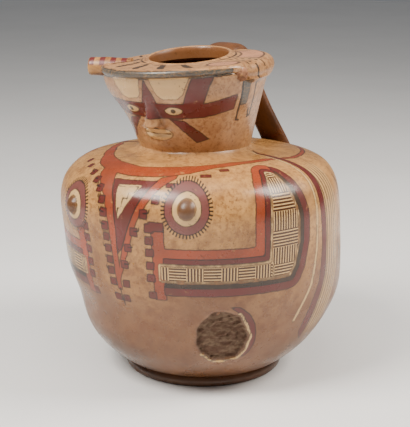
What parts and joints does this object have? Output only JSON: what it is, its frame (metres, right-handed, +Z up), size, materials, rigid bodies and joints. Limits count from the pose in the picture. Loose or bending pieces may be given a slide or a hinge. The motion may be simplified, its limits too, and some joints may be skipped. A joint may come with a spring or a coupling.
{
  "type": "effigy jar",
  "caption": "Slip-painted pottery jar in the form of a seated figure: round hollow body, head as neck with a wide flat headdress, open mouth, side tube and strap handle behind.",
  "frame": {"origin": "middle of the foot's underside, on the axis of the round body", "axes": "+Z up, the figure faces -Y, its left is +X, the strap handle is behind at +Y"},
  "size_m": [0.2278, 0.2338, 0.2654],
  "materials": {
    "painted_clay": "burnished slip-painted earthenware, satin to glossy, worn"
  },
  "bodies": {
    "root": {"effigy_jar": "painted_clay"}
  },
  "joints": []
}
